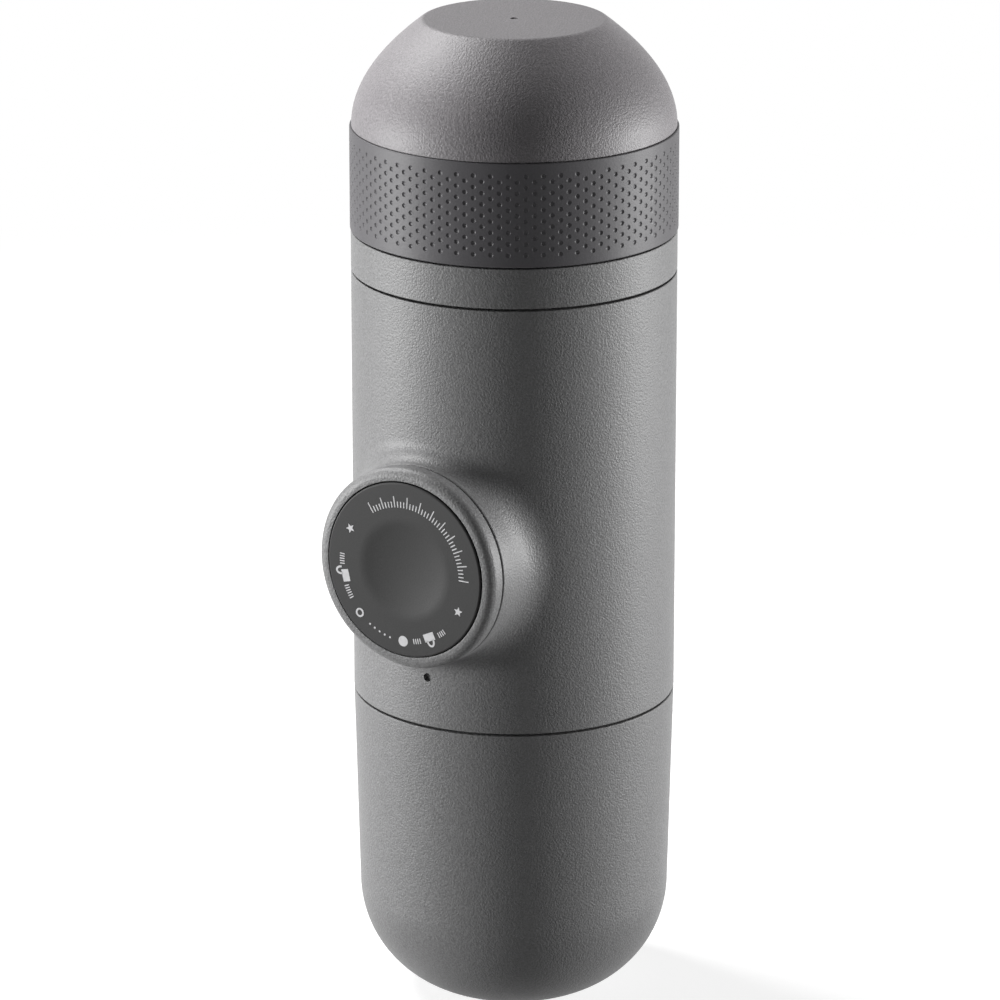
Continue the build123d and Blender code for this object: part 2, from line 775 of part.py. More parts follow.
def outlet_head():
    """Ring with a threaded skirt below, a plate with a raised cone and a spigot for the cup."""
    ring_low, ring_high = body_top + seam_gap / 2, ring_top - cup_gap / 2
    skirt_in = skirt_r - skirt_wall
    spigot_in = spigot_r - spigot_wall
    spigot_top = ring_high + spigot_h
    well_floor = head_plate_low + plate_t
    cone_top = well_floor + cone_rise
    solid = lathe(
        (0, head_plate_low), (skirt_in, head_plate_low), (skirt_in, skirt_low), (skirt_r, skirt_low),
        (skirt_r, ring_low), (body_r - rim_chamfer, ring_low), (body_r, ring_low + rim_chamfer),
        (body_r, ring_high - rim_chamfer), (body_r - rim_chamfer, ring_high), (spigot_r, ring_high),
        (spigot_r, spigot_top), (spigot_in, spigot_top), (spigot_in, well_floor),
        (spout_boss_r, cone_top), (spout_boss_r, cone_top + spout_boss_h), (0, cone_top + spout_boss_h),
    )
    groove_in = o_ring_mean_r() - o_ring_r - seal_gap
    solid = solid - tube(spigot_r, groove_in, cup_o_ring_z() - o_ring_r - seal_gap,
                         cup_o_ring_z() + o_ring_r + seal_gap)
    funnel_top = cone_top - funnel_wall
    funnel = lathe((0, head_plate_low), (basket_r - basket_t, head_plate_low),
                   (spout_bore_r, funnel_top), (0, funnel_top))
    solid = solid - funnel - tube(spout_bore_r, 0, head_plate_low, cone_top + spout_boss_h)
    solid = solid - tube(spout_stem_r + fit_gap, 0, cone_top + spout_boss_h - spout_stem_h - fit_gap,
                         cone_top + spout_boss_h)
    return solid + thread(skirt_r, 1, head_thread_low(), 0)


def o_ring_mean_r():
    return cup_inner_r - seal_gap - o_ring_r


def cup_o_ring_z():
    return ring_top + spigot_h / 2


def cup_o_ring():
    return o_ring(o_ring_mean_r(), o_ring_r, cup_o_ring_z())


def spout():
    """Nozzle pressed into the outlet head."""
    seat = head_plate_low + plate_t + cone_rise + spout_boss_h + fit_gap
    tip = seat + spout_h
    solid = lathe((0, seat), (spout_boss_r - seal_gap, seat), (spout_tip_r, tip), (0, tip))
    solid = solid + tube(spout_stem_r, 0, seat - spout_stem_h, seat)
    return solid - tube(spout_bore_r, 0, seat - spout_stem_h, tip)


# ---- cup ----

def cup_shell():
    """Cup standing upside down, with a domed closed end."""
    wall_r = cup_inner_r + cup_wall
    ledge = band_top + fit_gap
    inner_top = total_h - dome_wall
    solid = turned(
        Line((0, cup_low), (wall_r, cup_low)),
        Line((wall_r, cup_low), (wall_r, ledge)),
        Line((wall_r, ledge), (dome_r, ledge)),
        Bezier((dome_r, ledge), (dome_r, (ledge + total_h) / 2), (dome_top_r, total_h)),
        Line((dome_top_r, total_h), (0, total_h)),
        Line((0, total_h), (0, cup_low)),
    )
    top_edge = solid.edges().filter_by(GeomType.CIRCLE).sort_by(Axis.Z)[-1]
    solid = fillet(top_edge, dome_edge)
    inside = turned(
        Line((0, cup_low), (cup_inner_r, cup_low)),
        Line((cup_inner_r, cup_low), (cup_inner_r, ledge)),
        Bezier((cup_inner_r, ledge), (cup_inner_r, (ledge + inner_top) / 2),
               (dome_top_r - dome_wall, inner_top)),
        Line((dome_top_r - dome_wall, inner_top), (0, inner_top)),
        Line((0, inner_top), (0, cup_low)),
    )
    return solid - inside - tube(gate_r, 0, total_h - gate_depth, total_h)


def cup_grip_band():
    wall_r = cup_inner_r + cup_wall
    solid = tube(body_r + band_proud, wall_r + fit_gap, cup_low, band_top)
    outer = solid.edges().filter_by(GeomType.CIRCLE).sort_by(SortBy.RADIUS)[-2:]
    return chamfer(outer, rim_chamfer)


pieces = {
    "water_tank": water_tank(),
    "tank_gasket": tank_gasket(),
    "tank_collar": tank_collar(),
    "collar_screws": collar_screws(),
    "inlet_strainer": inlet_strainer(),
    "vent_valve": vent_valve(),
    "main_body_shell": main_body_shell(),
    "pump_block": pump_block(),
    "pump_cylinder": pump_cylinder(),
    "rod_bush": rod_bush(),
    "piston_head": piston_head(),
    "piston_seals": piston_seals(),
    "piston_rod": piston_rod(),
    "knob_screw": knob_screw(),
    "return_spring": return_spring(),
    "guide_sleeve": guide_sleeve(),
    "sleeve_screws": sleeve_screws(),
    "knob_body": knob_body(),
    "knob_disc": knob_disc(),
    "inlet_valve_seat": valve_seat(inlet_seat_low),
    "inlet_valve_ball": valve_ball(inlet_seat_low),
    "inlet_valve_spring": valve_spring(ball_centre(inlet_seat_low) + ball_r + seal_gap,
                                       inlet_bore_top - seal_gap),
    "outlet_valve_seat": valve_seat(outlet_seat_low),
    "outlet_valve_ball": valve_ball(outlet_seat_low),
    "outlet_valve_spring": valve_spring(ball_centre(outlet_seat_low) + ball_r + seal_gap,
                                        block_high - seal_gap),
    "brew_chamber": brew_chamber(),
    "delivery_o_ring": delivery_o_ring(),
    "chamber_screws": chamber_screws(),
    "head_gasket": head_gasket(),
    "filter_basket": filter_basket(),
    "scoop": scoop(),
    "brew_gasket": brew_gasket(),
    "outlet_screen": outlet_screen(),
    "outlet_head": outlet_head(),
    "cup_o_ring": cup_o_ring(),
    "spout": spout(),
    "cup_shell": cup_shell(),
    "cup_grip_band": cup_grip_band(),
}
for name, piece in pieces.items():
    export_step(piece, f"parts/{name}.step")
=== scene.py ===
import json
import math

import bpy
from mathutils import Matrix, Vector

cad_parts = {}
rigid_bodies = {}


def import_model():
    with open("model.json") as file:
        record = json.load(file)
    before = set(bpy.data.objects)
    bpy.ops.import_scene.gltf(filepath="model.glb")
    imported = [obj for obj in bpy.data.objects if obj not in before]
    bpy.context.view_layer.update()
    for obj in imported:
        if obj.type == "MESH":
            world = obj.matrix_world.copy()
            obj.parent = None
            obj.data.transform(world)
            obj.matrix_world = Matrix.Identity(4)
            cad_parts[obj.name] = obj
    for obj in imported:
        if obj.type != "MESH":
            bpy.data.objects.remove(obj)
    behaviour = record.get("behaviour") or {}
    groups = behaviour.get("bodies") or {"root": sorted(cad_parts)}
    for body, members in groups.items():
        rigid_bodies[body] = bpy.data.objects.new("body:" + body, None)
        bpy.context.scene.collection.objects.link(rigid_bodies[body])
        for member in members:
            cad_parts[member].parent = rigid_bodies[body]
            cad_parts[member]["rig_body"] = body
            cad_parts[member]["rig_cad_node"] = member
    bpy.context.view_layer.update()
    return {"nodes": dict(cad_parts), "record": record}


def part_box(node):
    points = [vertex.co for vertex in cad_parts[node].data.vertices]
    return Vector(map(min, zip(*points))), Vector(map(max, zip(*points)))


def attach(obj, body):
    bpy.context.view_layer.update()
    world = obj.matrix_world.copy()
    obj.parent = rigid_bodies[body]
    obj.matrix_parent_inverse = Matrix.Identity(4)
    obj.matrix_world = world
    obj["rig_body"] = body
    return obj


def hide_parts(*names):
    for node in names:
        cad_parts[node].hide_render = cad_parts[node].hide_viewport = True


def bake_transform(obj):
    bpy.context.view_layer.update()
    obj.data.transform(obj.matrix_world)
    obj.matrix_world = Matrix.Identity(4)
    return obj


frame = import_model()


# ---- Water tank ----
# Thick-walled nylon moulding with a rounded end and a small flat to stand on. It screws onto the pump's
# collar with a four-start thread moulded inside its mouth. The outside has a fine blasted grain.

mm = 0.001
axis_up = Vector((0, 0, 1))
axle_foot = Vector((0, 0, 0))
corner_steps = 4


def arc(centre_r, centre_z, radius, start, end, steps):
    """Corners along a round stretch of an outline, between two angles in degrees from the radius."""
    turn = [math.radians(start + (end - start) * n / steps) for n in range(steps + 1)]
    return [(centre_r + radius * math.cos(t), centre_z + radius * math.sin(t), 0) for t in turn]


def softened(corners):
    """Points of an outline of (radius, height, rounding) corners, with each rounding's arc."""
    points = []
    for n, (r, z, soft) in enumerate(corners):
        here = Vector((r, z))
        if soft == 0:
            points.append(here)
            continue
        back = (Vector(corners[n - 1][:2]) - here).normalized()
        ahead = (Vector(corners[(n + 1) % len(corners)][:2]) - here).normalized()
        half = back.angle(ahead) / 2
        centre = here + (back + ahead).normalized() * soft / math.sin(half)
        start, end = (here + way * soft / math.tan(half) for way in (back, ahead))
        for step in range(corner_steps + 1):
            chord = start.lerp(end, step / corner_steps) - centre
            points.append(centre + chord.normalized() * soft)
    return points


def edit(piece):
    """Go into edit mode on one piece alone, with nothing selected."""
    bpy.ops.object.select_all(action="DESELECT")
    piece.select_set(True)
    bpy.context.view_layer.objects.active = piece
    bpy.ops.object.mode_set(mode="EDIT")
    bpy.ops.mesh.select_all(action="DESELECT")


def picked(piece, faces):
    """Select the faces of one piece that pass a test, and stay in edit mode on it."""
    edit(piece)
    bpy.ops.object.mode_set(mode="OBJECT")
    for face in piece.data.polygons:
        face.select = faces(face)
    bpy.ops.object.mode_set(mode="EDIT")


def drawn(name, points, foot, axis, closed):
    """A wire that is extruded from one vertex, point by point, in the plane of +X and the axis."""
    def place(point):
        return foot + (Vector((1, 0, 0)) * point.x + axis * point.y) * mm

    bpy.ops.object.select_all(action="DESELECT")
    bpy.ops.mesh.primitive_plane_add(size=mm)
    piece = bpy.context.object
    piece.name = piece.data.name = name
    edit(piece)
    bpy.ops.mesh.select_all(action="SELECT")
    bpy.ops.mesh.merge(type="CENTER")
    bpy.ops.transform.translate(value=place(points[0]))
    for before, after in zip(points, points[1:] + points[:closed]):
        bpy.ops.mesh.extrude_vertices_move(TRANSFORM_OT_translate={"value": place(after) - place(before)})
    return piece


def turned(name, corners, steps=120, foot=axle_foot, axis=axis_up, closed=True):
    """A turned piece from an outline of corners in millimetres, which is open where it starts on the axis."""
    points = softened(corners)
    piece = drawn(name, points, foot, axis, closed=closed and points[0].x > 0)
    bpy.ops.mesh.select_all(action="SELECT")
    bpy.ops.mesh.spin(steps=steps, angle=2 * math.pi, center=foot, axis=axis)
    close_up()
    return piece


def close_up():
    """Merge what meets, turn faces outwards and leave edit mode."""
    bpy.ops.mesh.select_all(action="SELECT")
    bpy.ops.mesh.remove_doubles(threshold=0.002 * mm)
    bpy.ops.mesh.normals_make_consistent(inside=False)
    bpy.ops.object.mode_set(mode="OBJECT")


def joined(piece, *others):
    """Join pieces into the first one."""
    bpy.ops.object.select_all(action="DESELECT")
    for part in (piece, *others):
        part.select_set(True)
    bpy.context.view_layer.objects.active = piece
    bpy.ops.object.join()
    return piece


def smooth(piece, sharp_above=38):
    """Smooth shading that keeps real edges, with normals that follow the large faces."""
    bpy.ops.object.select_all(action="DESELECT")
    piece.select_set(True)
    bpy.context.view_layer.objects.active = piece
    bpy.ops.object.shade_smooth_by_angle(angle=math.radians(sharp_above))
    modifier = piece.modifiers.new("even", "WEIGHTED_NORMAL")
    modifier.keep_sharp = True
    bpy.ops.object.modifier_apply(modifier=modifier.name)
    return piece


thread_lead, thread_rise, thread_starts = 12.0, 7.0, 4
thread_depth, thread_sunk = 1.15, 0.3
root_half, crest_half = 0.65, 0.3


def ridges(name, wall_r, side, low, phase):
    """The thread's ridges on a wall; side is 1 outwards and -1 inwards, phase is in degrees."""
    root, crest = wall_r - side * thread_sunk, wall_r + side * thread_depth
    profile = (root, -root_half), (crest, -crest_half), (crest, crest_half), (root, root_half)
    points = [Vector(point) for point in profile]
    piece = drawn(name, points, Vector((0, 0, low * mm)), axis_up, closed=True)
    bpy.ops.mesh.select_all(action="SELECT")
    bpy.ops.mesh.remove_doubles(threshold=0.002 * mm)
    bpy.ops.object.mode_set(mode="OBJECT")
    climb = piece.modifiers.new("climb", "SCREW")
    climb.angle = 2 * math.pi * thread_rise / thread_lead
    climb.screw_offset = thread_rise * mm
    climb.steps = climb.render_steps = 48
    climb.use_merge_vertices = False
    bpy.ops.object.modifier_apply(modifier=climb.name)
    edit(piece)
    bpy.ops.mesh.select_all(action="SELECT")
    bpy.ops.mesh.fill_holes(sides=4)
    bpy.ops.mesh.select_all(action="SELECT")
    for start in range(thread_starts - 1):
        bpy.ops.mesh.duplicate()
        bpy.ops.transform.rotate(value=2 * math.pi / thread_starts, orient_axis="Z",
                                 center_override=(0, 0, 0))
    bpy.ops.mesh.select_all(action="SELECT")
    bpy.ops.transform.rotate(value=-math.radians(phase), orient_axis="Z", center_override=(0, 0, 0))
    close_up()
    return piece


class Wire:
    """One output of a material's nodes, on which maths can be written."""

    def __init__(self, finish, socket):
        self.finish, self.socket = finish, socket

    def __add__(self, other):
        return self.finish.maths("ADD", self, other)

    def __mul__(self, other):
        return self.finish.maths("MULTIPLY", self, other)

    __radd__, __rmul__ = __add__, __mul__


class Finish:
    """A material for one kind of surface, built on the Principled shader."""

    def __init__(self, name, **fixed):
        self.material = bpy.data.materials.new(name)
        self.material.use_nodes = True
        self.tree = self.material.node_tree
        self.shader = self.tree.nodes["Principled BSDF"]
        for socket, value in fixed.items():
            self.shader.inputs[socket.replace("_", " ")].default_value = value
        self.place = self.node("ShaderNodeTexCoord", output="Object")

    def node(self, kind, inputs=(), output=0, stops=(), **settings):
        """Add a node: its settings and a ramp's stops first, then its inputs' values or links."""
        made = self.tree.nodes.new(kind)
        for setting, value in settings.items():
            setattr(made, setting, value)
        for stop, (at, grey) in enumerate(stops):
            made.color_ramp.elements[stop].position = at
            made.color_ramp.elements[stop].color = (grey, grey, grey, 1)
        for socket, value in dict(inputs).items():
            self.feed(made.inputs[socket], value)
        return Wire(self, made.outputs[output])

    def feed(self, socket, value):
        if isinstance(value, Wire):
            self.tree.links.new(value.socket, socket)
        else:
            socket.default_value = value

    def maths(self, operation, a, b):
        return self.node("ShaderNodeMath", {0: a, 1: b}, operation=operation)

    def noise(self, scale, detail=2.0, roughness=0.5, place=None):
        """Noise from 0 to 1 with its scale in grains for each metre."""
        return self.node("ShaderNodeTexNoise", {"Vector": place or self.place, "Scale": scale,
                                                "Detail": detail, "Roughness": roughness})

    def cells(self, scale):
        """Round cells from 0 at their middles, with their scale in cells for each metre."""
        return self.node("ShaderNodeTexVoronoi", {"Vector": self.place, "Scale": scale},
                         output="Distance", feature="SMOOTH_F1")

    def ramp(self, value, *stops):
        return self.node("ShaderNodeValToRGB", {"Fac": value}, stops=stops)

    def mix(self, share, first, second):
        """Colour between two colours."""
        return self.node("ShaderNodeMix", {"Factor": share, 6: first, 7: second}, output=2,
                         data_type="RGBA")

    def finish(self, colour, roughness, height, depth):
        """Feed what varies over the surface; depth is the relief's height in metres."""
        self.feed(self.shader.inputs["Base Color"], colour)
        self.feed(self.shader.inputs["Roughness"], roughness)
        bump = self.node("ShaderNodeBump", {"Height": height, "Distance": depth, "Strength": 1.0})
        self.feed(self.shader.inputs["Normal"], bump)
        return self.material


def shade(colour, gain):
    """A colour made lighter or darker, with its alpha."""
    return tuple(channel * gain for channel in colour) + (1,)


def blasted(name, colour, grain=2800, depth=0.045 * mm, gloss=0.44, contrast=0.38, reflection=0.42):
    """Moulded plastic from a blasted tool: even grains with paler peaks, and faint blotches."""
    skin = Finish(name, Specular_IOR_Level=reflection)
    pebbles = skin.cells(grain * 0.8)
    grains = skin.ramp(skin.noise(grain, detail=1.5, roughness=0.6), (0.28, 0), (0.72, 1))
    blotch = skin.noise(38, detail=4, roughness=0.6)
    speckled = skin.mix(grains, shade(colour, 1 - contrast), shade(colour, 1 + contrast))
    colour_out = skin.mix(blotch * 0.25, speckled, shade(colour, 0.85))
    roughness = gloss + blotch * 0.06 + grains * 0.08
    return skin.finish(colour_out, roughness, grains + pebbles * 0.5, depth)


def put_on(piece, material):
    """Give a new piece its only material."""
    piece.data.materials.clear()
    piece.data.materials.append(material)


tank_low, tank_high = (corner.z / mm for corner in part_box("water_tank"))
tank_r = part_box("water_tank")[1].x / mm
flat_r, bowl_r, shoulder_r, tank_wall = 14.0, 21.6, 29.05, 2.0
foot_w, foot_slope, recess_deep, tank_inset = 1.6, 0.6, 0.35, 0.02
mouth_r, mouth_low, ledge_r, ledge_z = 27.0, 47.5, 27.9, 57.2
bowl_centre = shoulder_r - bowl_r
bowl_z = math.sqrt(bowl_r ** 2 - (flat_r - bowl_centre) ** 2)
flat_angle = -math.degrees(math.asin(bowl_z / bowl_r))
inner_bowl_r = bowl_r - tank_wall
floor_angle = -math.degrees(math.asin((bowl_z - tank_wall) / inner_bowl_r))
tank = turned("tank_shell", [
    (0, tank_low + recess_deep, 0),
    (flat_r - foot_w - foot_slope, tank_low + recess_deep, 0.2),
    (flat_r - foot_w, tank_low, 0.3),
    *arc(bowl_centre, bowl_z, bowl_r, flat_angle, 0, 26),
    (tank_r - tank_inset, tank_high - tank_inset, 0.2),
    (ledge_r, tank_high, 0.15),
    (ledge_r, ledge_z, 0.1),
    (mouth_r, ledge_z, 0.2),
    (mouth_r, mouth_low, 0.3),
    *arc(bowl_centre, bowl_z, inner_bowl_r, 0, floor_angle, 18),
    (0, tank_wall, 0),
], steps=144)
tank_thread_z = 49.15
tank = joined(tank, ridges("tank_ridges", mouth_r, -1, tank_thread_z, 45))
smooth(tank)
tank_grey = (0.120, 0.120, 0.121)
put_on(tank, blasted("blasted_tank", tank_grey))
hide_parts("water_tank")
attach(tank, "tank")


# ---- Body shell ----
# One moulding: a plain tube with a flared boss for the piston. Sockets at its two ends take the tank's
# collar and the brewing chamber, and the upper one carries the outlet head's thread.

shell_low, shell_high = (corner.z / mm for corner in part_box("main_body_shell"))
body_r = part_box("main_body_shell")[1].x / mm
hollow_r, head_socket_r, collar_socket_r = 26.6, 27.5, 27.6
socket_floor, collar_shoulder = 125.45, 66.05
pump_z = 91.5
mouth_reach, boss_r, bore_r = 33.6, 18.9, 17.35
flare_front, flare_back, flare_r = 28.5, 17.0, 16.0
crease_r, side_crease_r = 3.2, 9.0
mouth_soft, bore_soft = 0.3, 0.2
flank_steps, crease_steps, inner_steps, outer_steps = 8, 8, 5, 7
columns, window_columns, window_rows = 108, 18, 36
window_half = 27.0
window_low, window_high = pump_z - window_half, pump_z + window_half
row_heights = [window_low + 2 * window_half * n / window_rows for n in range(window_rows + 1)]
inner_row_heights = [max(z, collar_shoulder + 0.4) for z in row_heights]
shell = turned("body_shell", [
    (body_r, shell_low, 0.2),
    *((body_r, z, 0) for z in row_heights),
    (body_r, shell_high, 0.2),
    (head_socket_r, shell_high, 0.3),
    (head_socket_r, socket_floor, 0.1),
    (hollow_r, socket_floor, 0.1),
    *((hollow_r, z, 0) for z in reversed(inner_row_heights)),
    (hollow_r, collar_shoulder, 0.1),
    (collar_socket_r, collar_shoulder, 0.1),
    (collar_socket_r, shell_low, 0.2),
], steps=columns)
half_angle = window_columns * 2 * math.pi / columns


def in_window(face):
    """Whether a face of the tube is in the window that the boss's wall fills."""
    x, y, z = face.center
    wall = abs(face.normal.z) < 0.5
    return wall and abs(math.atan2(x, -y)) < half_angle and window_low < z / mm < window_high


picked(shell, in_window)
bpy.ops.mesh.delete(type="FACE")
bpy.ops.object.mode_set(mode="OBJECT")


def flank(reach):
    """Radius and slope of the boss's flank at a reach from the body's axis."""
    back = max(flare_front - reach, 0)
    rest = math.sqrt(flare_r ** 2 - back ** 2)
    return boss_r + flare_r - rest, -back / rest


def on_tube(radius, x, z):
    """Point of a tube about the body's axis, on the boss's side."""
    return Vector((x, -math.sqrt(radius ** 2 - x ** 2), pump_z + z))


def crease_arc(angle, steps):
    """Where the flank ends, and the arc of a ball that rolls along its crease and is larger at the sides."""
    across = Vector((math.cos(angle), 0, math.sin(angle)))
    ball_r = crease_r + (side_crease_r - crease_r) * across.x ** 2
    low, high = flare_back, mouth_reach
    for _ in range(40):
        reach = (low + high) / 2
        radius, slope = flank(reach)
        out = Vector((1, -slope)).normalized()
        ball = across * (radius + out.x * ball_r) - Vector((0, reach + out.y * ball_r, 0))
        if math.hypot(ball.x, ball.y) > body_r + ball_r:
            high = reach
        else:
            low = reach
    to_flank = -(across * out.x - Vector((0, out.y, 0)))
    to_tube = -Vector((ball.x, ball.y, 0)).normalized()
    centre = ball + Vector((0, 0, pump_z))
    return reach, [centre + to_flank.slerp(to_tube, n / steps) * ball_r for n in range(1, steps + 1)]


def window_edge(k):
    """Arc length and height of the k-th point round the window, from the middle of its right side."""
    side, step = divmod(k + window_columns, 2 * window_columns)
    run = step / window_columns - 1
    across, up = [(1, run), (-run, 1), (-1, -run), (run, -1)][side % 4]
    return across * half_angle, up * window_half


def spread(radius, start, k, steps, lowest):
    """Points on a tube from a start point out to the window's edge, which stays above the lowest height."""
    s0, z0 = math.asin(start.x / radius), start.z - pump_z
    s1, z1 = window_edge(k)
    points = []
    for n in range(1, steps + 1):
        t = n / steps
        s, z = s0 + (s1 - s0) * t, z0 + (z1 - z0) * t
        points.append(Vector((radius * math.sin(s), -radius * math.cos(s), pump_z + z)))
    points[-1].z = max(points[-1].z, lowest)
    return points


def boss_section(k):
    """All points of the boss's wall in the k-th direction, from the inner wall out to the outer one."""
    s, z = window_edge(k)
    angle = math.atan2(z, s * body_r)
    across = Vector((math.cos(angle), 0, math.sin(angle)))

    def at(radius, reach):
        return across * radius + Vector((0, -reach, pump_z))

    hole = on_tube(hollow_r, bore_r * across.x, bore_r * across.z)
    inside = spread(hollow_r, hole, k, inner_steps, inner_row_heights[0])
    bore_end, flank_start = mouth_reach - bore_soft, mouth_reach - mouth_soft
    mouth = [*arc(bore_r + bore_soft, bore_end, bore_soft, 180, 90, 2),
             *arc(boss_r - mouth_soft, flank_start, mouth_soft, 90, 0, 3)]
    flank_end, crease = crease_arc(angle, crease_steps)
    flank_points = []
    for n in range(1, flank_steps + 1):
        reach = flank_start + (flank_end - flank_start) * n / flank_steps
        flank_points.append(at(flank(reach)[0], reach))
    return [
        *reversed(inside), hole, at(bore_r, (bore_end - hole.y) / 2),
        *(at(radius, reach) for radius, reach, _ in mouth), *flank_points, *crease,
        *spread(body_r, crease[-1], k, outer_steps, row_heights[0]),
    ]


edge_count = 8 * window_columns
sections = [boss_section(k) for k in range(edge_count)]
bpy.ops.object.select_all(action="DESELECT")
bpy.ops.mesh.primitive_grid_add(x_subdivisions=edge_count, y_subdivisions=len(sections[0]) - 1, size=1)
boss = bpy.context.object
for vertex in boss.data.vertices:
    k = round((vertex.co.x + 0.5) * edge_count) % edge_count
    n = round((vertex.co.y + 0.5) * (len(sections[0]) - 1))
    vertex.co = sections[k][n] * mm
shell = joined(shell, boss)
edit(shell)
close_up()
head_thread_z = 130.65
shell = joined(shell, ridges("head_socket_ridges", head_socket_r, -1, head_thread_z, 45))

index_z, index_r, index_deep, drill_len = 68.7, 0.8, 0.7, 6.0
drill_middle = Vector((0, index_deep - drill_len / 2 - body_r, index_z)) * mm
bpy.ops.object.select_all(action="DESELECT")
bpy.ops.mesh.primitive_cylinder_add(vertices=24, radius=index_r * mm, depth=drill_len * mm,
                                    location=drill_middle, rotation=(math.pi / 2, 0, 0))
drill = bpy.context.object
bore = shell.modifiers.new("index_dimple", "BOOLEAN")
bore.object = drill
bore.solver = "EXACT"
edit(shell)
bpy.ops.object.mode_set(mode="OBJECT")
bpy.ops.object.modifier_apply(modifier=bore.name)
bpy.data.objects.remove(drill)
smooth(shell)
body_grey = (0.122, 0.122, 0.123)
blasted_body = blasted("blasted_body", body_grey)
put_on(shell, blasted_body)
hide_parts("main_body_shell")
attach(shell, "main")


# ---- Outlet head ----
# Moulded ring that screws into the body over the basket. Inside the cup it carries a spigot with an O-ring
# and a short spout on a cone.

head_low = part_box("outlet_head")[0].z / mm
ring_low, ring_high, rim_soft = 140.0, 147.4, 0.2
skirt_r, skirt_in, plate_low, plate_high = 25.9, 24.0, 139.3, 143.8
spigot_r, spigot_in, spigot_high = 26.7, 23.6, 156.0
o_ring_z, o_ring_seat, o_ring_half = 151.85, 24.9, 1.0
cone_r, cone_high, nozzle_seat = 6.0, 151.8, 155.8
funnel_r, funnel_high, outlet_r = 17.8, 149.3, 1.85
stem_r, stem_floor = 3.45, 152.75
head = turned("outlet_ring", [
    (outlet_r, funnel_high, 0),
    (funnel_r, plate_low, 0.2),
    (skirt_in, plate_low, 0.2),
    (skirt_in, head_low, 0.2),
    (skirt_r, head_low, 0.3),
    (skirt_r, ring_low, 0.1),
    (body_r, ring_low, rim_soft),
    (body_r, ring_high, rim_soft),
    (spigot_r, ring_high, 0.1),
    (spigot_r, o_ring_z - o_ring_half, 0.1),
    (o_ring_seat, o_ring_z - o_ring_half, 0.1),
    (o_ring_seat, o_ring_z + o_ring_half, 0.1),
    (spigot_r, o_ring_z + o_ring_half, 0.1),
    (spigot_r, spigot_high, 0.4),
    (spigot_in, spigot_high, 0.4),
    (spigot_in, plate_high, 0.4),
    (cone_r, cone_high, 0.4),
    (cone_r, nozzle_seat, 0.3),
    (stem_r, nozzle_seat, 0.1),
    (stem_r, stem_floor, 0.1),
    (outlet_r, stem_floor, 0),
])
head = joined(head, ridges("head_ridges", skirt_r, 1, head_thread_z, 0))
smooth(head)
put_on(head, blasted_body)
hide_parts("outlet_head")
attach(head, "head")


# ---- Cup ----
# The dome is the closed end of the drinking cup, which stands upside down over the spout. A soft band with
# rows of small dimples is the cup's grip.

cup_low, cup_high = (corner.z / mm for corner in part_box("cup_shell"))
dome_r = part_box("cup_shell")[1].x / mm
dome_low, dome_mid, dome_top_r, dome_wall = 166.9, 176.7, 16.8, 2.2
cup_r, cup_in = 28.3, 27.0
gate_r, gate_deep = 0.7, 0.2


def bezier(low, mid, high, steps):
    """Corners along a curve from the low point to the high one, drawn towards the middle one."""
    points = []
    for n in range(1, steps):
        t = n / steps
        r, z = (a * (1 - t) ** 2 + b * 2 * t * (1 - t) + c * t * t for a, b, c in zip(low, mid, high))
        points.append((r, z, 0))
    return points


inner_top = (dome_top_r - dome_wall, cup_high - dome_wall)
cup = turned("cup_dome", [
    (0, cup_high - gate_deep, 0),
    (gate_r, cup_high - gate_deep, 0.05),
    (gate_r, cup_high, 0.05),
    (dome_top_r, cup_high, 1.4),
    *reversed(bezier((dome_r, dome_low), (dome_r, dome_mid), (dome_top_r, cup_high), 24)),
    (dome_r, dome_low, 0.15),
    (cup_r, dome_low, 0.1),
    (cup_r, cup_low, 0.4),
    (cup_in, cup_low, 0.4),
    (cup_in, dome_low, 0),
    *bezier((cup_in, dome_low), (cup_in, (dome_low + inner_top[1]) / 2), inner_top, 14),
    (*inner_top, 0.4),
    (0, inner_top[1], 0),
], steps=144)
smooth(cup)
cup_grey = (0.143, 0.135, 0.141)
put_on(cup, blasted("blasted_cup", cup_grey))
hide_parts("cup_shell")
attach(cup, "cup")

band_low, band_high = (corner.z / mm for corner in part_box("cup_grip_band"))
band_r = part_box("cup_grip_band")[1].x / mm
band_in = 28.35
dimple_columns, dimple_rows, dimple_pitch, dimple_r = 120, 8, 2.07, 0.5
column_pitch = 2 * math.pi * band_r / dimple_columns
band_soft = 0.2
strip_columns, strip_rows = dimple_columns + 1, 2 * dimple_rows
bpy.ops.object.select_all(action="DESELECT")
bpy.ops.mesh.primitive_grid_add(x_subdivisions=strip_columns, y_subdivisions=strip_rows, size=1)
band = bpy.context.object
band.name = band.data.name = "grip_band"
dimpled = []
for vertex in band.data.vertices:
    column = round((vertex.co.x + 0.5) * strip_columns)
    row = round((vertex.co.y + 0.5) * strip_rows)
    inside = 0 < column < strip_columns and 0 < row < strip_rows
    dimpled.append(inside and (column + row) % 2 == 0)
    along = min(max(column - 1, -0.5), dimple_columns - 0.5) * column_pitch
    height = (band_low + band_high) / 2 + (row - dimple_rows) * dimple_pitch / 2
    if row in (0, strip_rows):
        height = band_high - band_soft if row else band_low + band_soft
    vertex.co = Vector((along, height, 0)) * mm
edit(band)
bpy.ops.object.mode_set(mode="OBJECT")
band.data.vertices.foreach_set("select", dimpled)
bpy.ops.object.mode_set(mode="EDIT")
bpy.ops.mesh.bevel(affect="VERTICES", offset=dimple_r * mm, segments=3, profile=0.075)
bpy.ops.mesh.select_mode(type="FACE")
bpy.ops.mesh.dissolve_faces()
dimple_rim, dimple_wall, dimple_floor = (0.06, 0.04), (0.12, 0.14), (0.14, 0.05)
